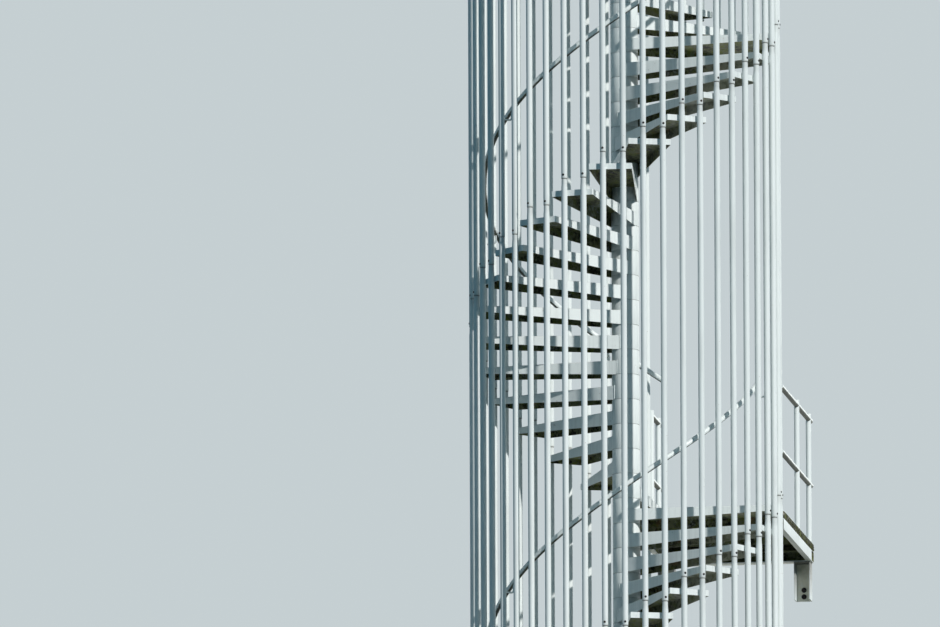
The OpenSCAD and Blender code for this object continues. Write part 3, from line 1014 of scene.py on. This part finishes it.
class STAIR_OT_decks(bpy.types.Operator):
    """Folded platforms and the resting landing"""

    bl_idname = "stair.decks"
    bl_label = "Platforms"

    def execute(self, context):
        s = sizes()
        rest = rest_lines()
        deck, free_edges = s.deck_skirt, range(2, 8)
        jobs = (
            ("door_platform", deck_lines(0), DOOR_Z, (0,), deck, free_edges),
            ("top_platform", deck_lines(top_start()), TOP_Z, (0,), deck, free_edges),
            ("rest_landing", rest, REST_Z, (0, len(rest) - 1), s.skirt_end, ()),
        )
        for name, lines, height, tapered, level, mossy in jobs:
            depths = tray_depths(lines, tapered, level, s.nosing_hub)
            tray = fold(f"{name}_tray", tray_mesh(f"{name}_tray_shell", lines, depths))
            piece = with_studs(tray, lines)
            piece.data.transform(Matrix.Translation((0, 0, height)))
            tray_finish(piece, lines, height, mossy)
            ready(piece, "platform_paint", f"{name}_deck")
        return {"FINISHED"}


def tube_sources(r, neck, gap, end):
    """The straight part, the foot and the drawn-in head of a cage tube, whose ends are end long"""
    foot = [
        (0, -gap), (r - 6 * MM, -gap), (r - 6 * MM, 0), (r - 1.5 * MM, 0.2 * MM), (r, 1.8 * MM),
        (r, 14 * MM), (r, end),
    ]
    foot_grime = [1.0, 1.0, 1.0, 0.9, 0.5, 0.1, 0.0]
    head = [
        (r, -end), (r, -72 * MM), (neck + 0.8 * MM, -50 * MM), (neck, -38 * MM), (neck, -6 * MM),
        (neck - 1.2 * MM, -1 * MM), (neck - 4 * MM, 0.0), (0, 0.0),
    ]
    head_grime = [0.0, 0.02, 0.12, 0.16, 0.2, 0.6, 1.0, 1.0]
    return {
        "Shaft": linked("tube_shaft", lathe("tube_shaft", [(r, 0.0), (r, 1.0)], TUBE_SIDES)),
        "Foot": linked("tube_foot", lathe("tube_foot", foot, TUBE_SIDES, foot_grime)),
        "Head": linked("tube_head", lathe("tube_head", head, TUBE_SIDES, head_grime)),
    }


class STAIR_OT_tubes(bpy.types.Operator):
    """Cage tubes with closed, chamfered ends"""

    bl_idname = "stair.tubes"
    bl_label = "Cage tubes"

    def execute(self, context):
        s = sizes()
        r = s.tube_d / 2
        end = 90 * MM
        sources = tube_sources(r, r - s.neck, s.joint_gap, end)
        inputs = {label: "Object" for label in sources}
        g = Grower("tubes_at_points", **inputs, End="Float", Finish="Material")
        points, tall = g.given["Geometry"], g.field("tall")
        middle = g.math("SUBTRACT", tall, g.math("MULTIPLY", g.given["End"], 2.0))
        raised = g.shifted(points, g.given["End"])
        shafts = g.copies(raised, g.given["Shaft"], g.xyz(1.0, 1.0, middle))
        feet = g.copies(points, g.given["Foot"])
        heads = g.copies(g.shifted(points, tall), g.given["Head"])
        tree = g.finish(g.join(shafts, feet, heads))
        values = {"End": end, "Finish": finishes()["cage_white"], **sources}
        for storey, runs in tube_runs().items():
            places = [tuple(polar(s.cage_r, k * pitch(), low)) for k, low, high in runs]
            turns = [(0.0, 0.0, k * pitch()) for k, low, high in runs]
            heights = [high - low for k, low, high in runs]
            carrier = spots(f"tubes_{storey}_spots", places, turn=turns, tall=heights)
            piece = grow(f"cage_tubes_{storey}", carrier, tree, **values)
            ready(piece, "cage_paint", f"cage_bars_{storey}")
        for source in sources.values():
            bpy.data.objects.remove(source)
        return {"FINISHED"}


class STAIR_OT_tube_screws(bpy.types.Operator):
    """Dark screws over the tube joints, on the outer side"""

    bl_idname = "stair.tube_screws"
    bl_label = "Tube screws"

    def execute(self, context):
        s = sizes()
        places, turns = [], []
        for k, low, high in (run for runs in tube_runs().values() for run in runs):
            joint = low - s.joint_gap
            tread_z = joint - s.joint_up
            if abs(tread_z - s.riser * level_of(tread_z)) < MM:
                spot = polar(s.cage_r + s.tube_d / 2, k * pitch(), joint + s.screw_up)
                places.append(tuple(spot))
                turns.append((0.0, math.pi / 2, k * pitch()))
        profile = [
            (9.5 * MM, -4 * MM), (9.3 * MM, 0.6 * MM), (7 * MM, 3.4 * MM), (4 * MM, 4.2 * MM),
            (3.6 * MM, 1.5 * MM), (0, 1.4 * MM),
        ]
        screw = lathe("screw", profile, 12)
        ready(scatter("tube_screws", screw, places, turns, finishes()["dark_screw"]), "galvanised")
        return {"FINISHED"}


def rail_z(first, base, k):
    """Height of the handrail's centre over a flight, at a tube place"""
    s = sizes()
    turn = s.tread_turn / (2 * pitch())
    nose = s.riser * (0.5 + turn + s.tread_lap / 2 / end_radius() / math.sin(2 * pitch()))
    return s.riser * (base + 1 + (k - first - 0.5) / 2) + nose + s.rail_h


def rail_path(start, end, height):
    """Points of a handrail between two tube places"""
    s = sizes()
    per_place = 3
    radius = s.cage_r - s.tube_d / 2 - s.rail_gap - s.rail_d / 2
    count = math.ceil((end - start) * per_place)
    ks = [start + (end - start) * i / count for i in range(count + 1)]
    return [polar(radius, k * pitch(), height(k)) for k in ks]


class STAIR_OT_handrails(bpy.types.Operator):
    """Helical handrails swept along their paths"""

    bl_idname = "stair.handrails"
    bl_label = "Handrails"

    def execute(self, context):
        s = sizes()
        first, door, rest = s.landing_places, level_of(DOOR_Z), level_of(REST_Z)
        start, last = first - 1, s.places - 1.5
        turn, join = last - s.places, s.rest_places - 1
        low = rail_z(first, door, last)
        high = rail_z(s.rest_places, rest, join)

        def over_rest(k):
            if k < turn:
                return rail_z(first, door, k + s.places)
            if k < join:
                return low + (k - turn) / (join - turn) * (high - low)
            return rail_z(s.rest_places, rest, k)

        def eased(k):
            reach = (-1.0, -0.5, 0.0, 0.5, 1.0)
            return sum(over_rest(k + d) for d in reach) / len(reach)

        def over_door(k):
            return eased(k - s.places) if k > last - 2 else rail_z(first, door, k)

        runs = {
            "lower": rail_path(start, last, lambda k: rail_z(first, 0, k)),
            "middle": rail_path(start, last, over_door),
            "upper": rail_path(turn, s.rest_places + 2 * (upper_steps() - 1) + 0.5, eased),
        }
        values = {"Radius": s.rail_d / 2, "Finish": finishes()["helix_white"]}
        for name, path in runs.items():
            carrier = path_object(f"rail_{name}_path", [path])
            rail = grow(f"helix_rail_{name}", carrier, sweep_tree(), **values)
            smooth(rail.data, 40)
            ready(rail, "rail_paint", f"handrail_{name}")
        return {"FINISHED"}


def softened(name, node, width, finish, slot, second=None, chosen=None):
    """A copy of a CAD node with its edges rounded, which stands for the node. chosen picks the
    faces that get the second finish"""
    bm = bmesh.new()
    bm.from_mesh(frame["nodes"][node].data)
    bmesh.ops.remove_doubles(bm, verts=bm.verts, dist=1e-5)
    bmesh.ops.dissolve_limit(bm, angle_limit=math.radians(1), verts=bm.verts, edges=bm.edges)
    mesh = mesh_of(name, bm)
    if "custom_normal" in mesh.attributes:
        mesh.attributes.remove(mesh.attributes["custom_normal"])
    piece = linked(name, mesh)
    bevelled(piece, width, segments=2, angle=SHARP)
    piece = plain(name, piece)
    smooth(piece.data)
    piece.data.materials.clear()
    piece.data.materials.append(finishes()[finish])
    if second:
        piece.data.materials.append(finishes()[second])
        for face in piece.data.polygons:
            face.material_index = int(chosen(face.center, face.normal))
    return ready(piece, slot, node)


def painted_shade_by_height(piece, low, high):
    """Marks each point's height in its grime attribute, so that dirt and painted shade from the deck above
    thicken towards the top
    """
    marks = piece.data.attributes.new("grime", "FLOAT", "POINT")
    for vert, mark in zip(piece.data.vertices, marks.data):
        mark.value = max(0.0, min(1.0, (vert.co.z - low) / (high - low)))


def beams_and_brackets(level):
    """The painted steel under one platform, with the underside finish as dirt and painted shade on the faces
    turned in under the deck
    """
    node = f"{level}_platform_beams"
    lip_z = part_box(node)[0].z + 12 * MM
    middle = (DECK_LOW + DECK_HIGH) / 2

    # faces turned in under the deck get the underside finish: dirt and painted shade
    def sheltered(centre, normal):
        lip = centre.z < lip_z
        if abs(normal.z) > 0.5:
            return not (lip and normal.z < 0)
        inwards = normal.x * (middle.x - centre.x) + normal.y * (middle.y - centre.y) > 0
        return not lip and inwards

    # the brackets' webs get the dust finish, with its painted bounce light and painted shade
    def web(centre, normal):
        return normal.y < -0.5 and centre.y > DECK_HIGH.y - 20 * MM

    softened(f"{level}_beams", node, 2.5 * MM, "beam_white", "platform_paint", "underside", sheltered)
    node = f"{level}_wall_brackets"
    piece = softened(f"{level}_brackets", node, 2 * MM, "beam_white", "platform_paint", "dusty", web)
    low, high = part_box(node)
    painted_shade_by_height(piece, low.z, high.z)


class STAIR_OT_steelwork(bpy.types.Operator):
    """Beams, brackets, foot, sleeves and rings with rounded edges and their paint"""

    bl_idname = "stair.steelwork"
    bl_label = "Steelwork"

    def execute(self, context):
        for level in LEVELS:
            beams_and_brackets(level)
        wide, narrow = 2 * MM, 1.5 * MM
        softened("foot_plate", "base_plate", wide, "dull_zinc", "galvanised")
        softened("foot_gussets", "base_gussets", wide, "column_white", "column_paint")
        for end in ("foot", "top"):
            softened(f"{end}_ring", f"cage_{end}_ring", narrow, "cage_white", "cage_paint")
        for storey in STOREYS:
            node = f"hub_sleeves_{storey}"
            softened(f"sleeves_{storey}", node, narrow, "column_white", "column_paint")
        softened("column_cap", "pole_cap", narrow, "column_white", "column_paint")
        kept = {"centre_pole": "dull_zinc", "spacer_rings": "seam", "well_guard": "cage_white"}
        kept.update({f"{level}_platform_ribs": "underside" for level in LEVELS})
        kept.update({f"{level}_rail_{side}": "rail_mossy" for level in LEVELS for side in ("left", "right")})
        kept.update({f"rail_stays_{storey}": "cage_white" for storey in STOREYS})
        for node, finish in kept.items():
            slots = frame["nodes"][node].material_slots
            for slot in slots:
                slot.link = "OBJECT"
                slot.material = finishes()[finish]
            if not slots:
                frame["nodes"][node].data.materials.append(finishes()[finish])
        return {"FINISHED"}


class STAIR_OT_fixings(bpy.types.Operator):
    """Wall bolts, anchor nuts and the nuts inside the tread ends"""

    bl_idname = "stair.fixings"
    bl_label = "Fixings"

    def execute(self, context):
        s = sizes()
        dark, zinc = finishes()["dark_screw"], finishes()["dull_zinc"]
        plate = 8 * MM
        places = []
        for name, mount in MOUNTS.items():
            if "wall_bolts" in name:
                x, y, z = mount["pos_m"]
                half = mount["dims"]["spacing_y_mm"] * MM / 2
                places += [(x, y - plate, z + half), (x, y - plate, z - half)]
        turns = [(math.pi / 2, 0.0, 0.0)] * len(places)
        washer, stud = (21 * MM, 3.5 * MM), (9.5 * MM, 24 * MM)
        nut = hex_head("wall_nut", radius=15 * MM, height=15 * MM, washer=washer, stud=stud)
        ready(scatter("wall_bolts", nut, places, turns, dark), "galvanised")

        pattern = MOUNTS["anchor_bolts"]["dims"]
        count, radius = pattern["count"], pattern["pcd_mm"] * MM / 2
        base_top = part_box("base_plate")[1].z
        places = [tuple(polar(radius, (i + 0.5) * 2 * math.pi / count, base_top)) for i in range(count)]
        twist = 0.3
        turns = [(0.0, 0.0, twist * i) for i in range(count)]
        washer, stud = (22 * MM, 4 * MM), (10 * MM, 38 * MM)
        nut = hex_head("anchor_nut", radius=17 * MM, height=16 * MM, washer=washer, stud=stud)
        ready(scatter("anchor_nuts", nut, places, turns, zinc), "galvanised")

        places, turns = [], []
        nut_share = 0.56
        drop = s.skirt_end * nut_share
        reach = s.cage_r * math.sin(pitch() / 2)
        for z, turn in every_tread():
            for side in (-reach, reach):
                seat = polar(end_radius() - s.sheet, turn, z - drop)
                places.append(tuple(seat + polar(side, turn + math.pi / 2)))
                turns.append((0.0, -math.pi / 2, turn))
        nut = hex_head("tread_nut", radius=9 * MM, height=7 * MM, washer=(11 * MM, 2 * MM))
        ready(scatter("tread_nuts", nut, places, turns, dark), "galvanised")
        return {"FINISHED"}


def sleeve_bead(lines, depth, height, turn):
    """Path of a weld up a skirt's end, round the sleeve and down the other skirt's end"""
    first, last = sleeve_angles(tray_outline(lines))
    radius, arc_step, drop_count = SLEEVE_R + 1.5 * MM, math.radians(8), 4
    count = round((last - first) / arc_step)
    arc = [polar(radius, turn + first + (last - first) * i / count, height) for i in range(count + 1)]
    drops = [Vector((0, 0, -depth * (1 - i / drop_count))) for i in range(drop_count)]
    return [arc[0] + d for d in drops] + arc + [arc[-1] + d for d in reversed(drops)]


def post_beads(level, deck_z):
    """Rings of weld round the feet of a platform's rail posts"""
    post_r = sizes().rail_d / 2
    post_inset, near_share, sides = 0.12, 1.35, 16
    far = DECK_HIGH.y - post_inset
    rings = []
    for side in ("left", "right"):
        low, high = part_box(f"{level}_rail_{side}")
        near = low.y + post_r if side == "left" else (low.y + near_share * far) / (1 + near_share)
        for y in (near, far):
            foot = Vector(((low.x + high.x) / 2, y, deck_z + MM))
            rings.append([foot + polar(post_r + MM, 2 * math.pi * i / sides) for i in range(sides + 1)])
    return rings


class STAIR_OT_welds(bpy.types.Operator):
    """Weld beads where the trays meet the sleeves and the posts meet the platforms"""

    bl_idname = "stair.welds"
    bl_label = "Welds"

    def execute(self, context):
        s = sizes()
        tread, rest = s.skirt_hub * WELDED_SHARE, s.nosing_hub * WELDED_SHARE
        paths = [sleeve_bead(tread_lines(), tread, z, turn) for z, turn in every_tread()]
        paths.append(sleeve_bead(deck_lines(0), s.deck_skirt, DOOR_Z, 0.0))
        paths.append(sleeve_bead(deck_lines(top_start()), s.deck_skirt, TOP_Z, 0.0))
        paths.append(sleeve_bead(rest_lines(), rest, REST_Z, 0.0))
        paths += post_beads("door", DOOR_Z) + post_beads("top", TOP_Z)
        values = {"Radius": 3.2 * MM, "Finish": finishes()["column_white"]}
        beads = grow("weld_beads", path_object("weld_paths", paths), sweep_tree(), **values)
        smooth(beads.data, 50)
        ready(beads, "column_paint")
        return {"FINISHED"}


class STAIR_OT_moss(bpy.types.Operator):
    """Moss cushions on the skirts of the platforms"""

    bl_idname = "stair.moss"
    bl_label = "Moss"

    def execute(self, context):
        s = sizes()
        draw = random.Random(11)
        bm = bmesh.new()
        bmesh.ops.create_icosphere(bm, subdivisions=1, radius=1.0)
        for vert in bm.verts:
            vert.co *= draw.uniform(0.75, 1.15)
        blob = smooth_mesh("moss_blob", bm, 180)
        per_metre = 90
        outer_edge, inner_edge = 3, 5
        places, turns, scales = [], [], []
        for deck_z, first in ((DOOR_Z, 0), (TOP_Z, top_start())):
            corners = tray_outline(deck_lines(first))
            for i, share in ((outer_edge, 1.0), (inner_edge, 0.4)):
                start, end = sorted((corners[i], corners[i + 1]), key=lambda p: p.y)
                end = end - Vector((0, 12 * MM))
                for _ in range(round((end - start).length * per_metre * share)):
                    point = start.lerp(end, draw.random() ** 0.8)
                    sink = -s.deck_skirt + s.deck_skirt * 0.6 * draw.random() ** 2
                    places.append((point.x, point.y, deck_z + sink))
                    turns.append(tuple(draw.uniform(0, 6.2) for _ in range(3)))
                    scales.append(draw.uniform(3, 8.5) * MM)
        g = Grower("moss_at_points", Source="Object", Finish="Material")
        size = g.field("size")
        cushions = g.copies(g.given["Geometry"], g.given["Source"], g.xyz(size, size, size))
        tree = g.finish(cushions)
        carrier = spots("moss_spots", places, turn=turns, size=scales)
        source = linked("moss_source", blob)
        piece = grow("moss_cushions", carrier, tree, Source=source, Finish=finishes()["moss"])
        bpy.data.objects.remove(source)
        ready(piece, "platform_paint")
        return {"FINISHED"}


def seen_ray(tree):
    """Socket that is 1 for rays by which the camera sees the background, also in gloss and glass"""
    path = tree.nodes.new("ShaderNodeLightPath")
    chosen = path.outputs["Is Camera Ray"]
    for ray in ("Is Glossy Ray", "Is Transmission Ray"):
        either = tree.nodes.new("ShaderNodeMath")
        either.operation = "MAXIMUM"
        tree.links.new(chosen, either.inputs[0])
        tree.links.new(path.outputs[ray], either.inputs[1])
        chosen = either.outputs[0]
    return chosen


def stage_camera(scene, stage):
    yaw, tilt, roll = (math.radians(v) for v in (stage.yaw, stage.pitch, stage.roll))
    right = Vector((math.cos(yaw), math.sin(yaw), 0))
    ahead = Vector((-math.sin(yaw) * math.cos(tilt), math.cos(yaw) * math.cos(tilt), math.sin(tilt)))
    aim = Vector((0, 0, stage.aim_z)) - right * stage.aim_side
    data = bpy.data.cameras.new("camera")
    data.lens = stage.lens
    data.sensor_width = 36
    data.clip_start, data.clip_end = 1.0, 2000
    camera = linked("camera", data)
    turn = Matrix((right, right.cross(ahead), -ahead)).transposed() @ Matrix.Rotation(roll, 3, "Z")
    camera.matrix_world = Matrix.Translation(aim - ahead * stage.distance) @ turn.to_4x4()
    scene.camera = camera


def stage_lamps(stage):
    lamps = (
        ("key", stage.key, stage.key_soft, (1.0, 0.985, 0.95), (-0.598, 0.56, -0.418)),
        ("bounce", stage.bounce, stage.bounce_soft, (1.0, 0.98, 0.92), (-0.15, -0.95, 0.15)),
    )
    for name, energy, angle, colour, way in lamps:
        light = bpy.data.lights.new(name, "SUN")
        light.energy, light.angle, light.color = energy, angle, colour
        lamp = linked(name, light)
        lamp.rotation_euler = Vector(way).to_track_quat("-Z", "Y").to_euler()


def stage_world(scene, stage):
    """The fill light, and a plain colour where the camera sees past the stair"""
    world = bpy.data.worlds.new("studio")
    scene.world = world
    world.use_nodes = True
    nodes, links = world.node_tree.nodes, world.node_tree.links
    light = nodes["Background"]
    light.inputs[0].default_value = (*stage.fill, 1)
    light.inputs[1].default_value = 1.0
    seen = nodes.new("ShaderNodeBackground")
    seen.inputs[0].default_value = (*stage.backdrop, 1)
    blend = nodes.new("ShaderNodeMixShader")
    links.new(seen_ray(world.node_tree), blend.inputs[0])
    links.new(light.outputs[0], blend.inputs[1])
    links.new(seen.outputs[0], blend.inputs[2])
    links.new(blend.outputs[0], nodes["World Output"].inputs[0])


def stage_floor(stage):
    """A pale disc that fades out towards its rim"""
    bm = bmesh.new()
    bmesh.ops.create_circle(bm, cap_ends=True, radius=stage.floor_r, segments=96)
    mesh = mesh_of("floor", bm)
    floor = linked("floor", mesh)
    s = Shader("floor")
    far = s.node("ShaderNodeVectorMath", {"operation": "LENGTH"}, {0: s.place()}, 1)
    clear = s.node("ShaderNodeBsdfTransparent", {}, {})
    fade = s.node("ShaderNodeMixShader", {}, {0: (far / stage.floor_r).above(0.45, 0.98)})
    pale = s.mix(stage.floor, stage.floor_seen, Wire(s, seen_ray(s.tree)))
    s.surface(Base_Color=pale, Roughness=0.9)
    s.tree.links.new(s.bsdf.outputs[0], fade.socket.node.inputs[1])
    s.tree.links.new(clear.socket, fade.socket.node.inputs[2])
    s.tree.links.new(fade.socket, s.output.inputs["Surface"])
    mesh.materials.append(s.material)


class STAIR_OT_stage(bpy.types.Operator):
    """Camera, key lamp, fill, floor and background"""

    bl_idname = "stair.stage"
    bl_label = "Stage"

    def execute(self, context):
        scene = context.scene
        stage = scene.stair_stage
        scene.view_settings.view_transform = "Standard"
        stage_camera(scene, stage)
        stage_lamps(stage)
        stage_world(scene, stage)
        stage_floor(stage)
        return {"FINISHED"}


STEPS = (
    STAIR_OT_stage,
    STAIR_OT_tubes,
    STAIR_OT_tube_screws,
    STAIR_OT_treads,
    STAIR_OT_decks,
    STAIR_OT_handrails,
    STAIR_OT_steelwork,
    STAIR_OT_fixings,
    STAIR_OT_welds,
    STAIR_OT_moss,
)


class STAIR_PT_panel(bpy.types.Panel):
    """Buttons for the stair's pieces and its sizes"""

    bl_idname = "STAIR_PT_panel"
    bl_label = "Stair"
    bl_space_type = "VIEW_3D"
    bl_region_type = "UI"
    bl_category = "Stair"

    def draw(self, context):
        for step in STEPS:
            self.layout.operator(step.bl_idname)
        for group in (context.scene.stair_sizes, context.scene.stair_colours, context.scene.stair_stage):
            for name in group.__annotations__:
                self.layout.prop(group, name)


CLASSES = (StairSizes, StairColours, StairStage, *STEPS, STAIR_PT_panel)


def register():
    for item in CLASSES:
        bpy.utils.register_class(item)
    bpy.types.Scene.stair_sizes = PointerProperty(type=StairSizes)
    bpy.types.Scene.stair_colours = PointerProperty(type=StairColours)
    bpy.types.Scene.stair_stage = PointerProperty(type=StairStage)


def unregister():
    del bpy.types.Scene.stair_sizes, bpy.types.Scene.stair_colours, bpy.types.Scene.stair_stage
    for item in reversed(CLASSES):
        bpy.utils.unregister_class(item)


def main():
    register()
    for step in STEPS:
        group, name = step.bl_idname.split(".")
        getattr(getattr(bpy.ops, group), name)()


if __name__ == "__main__":
    main()
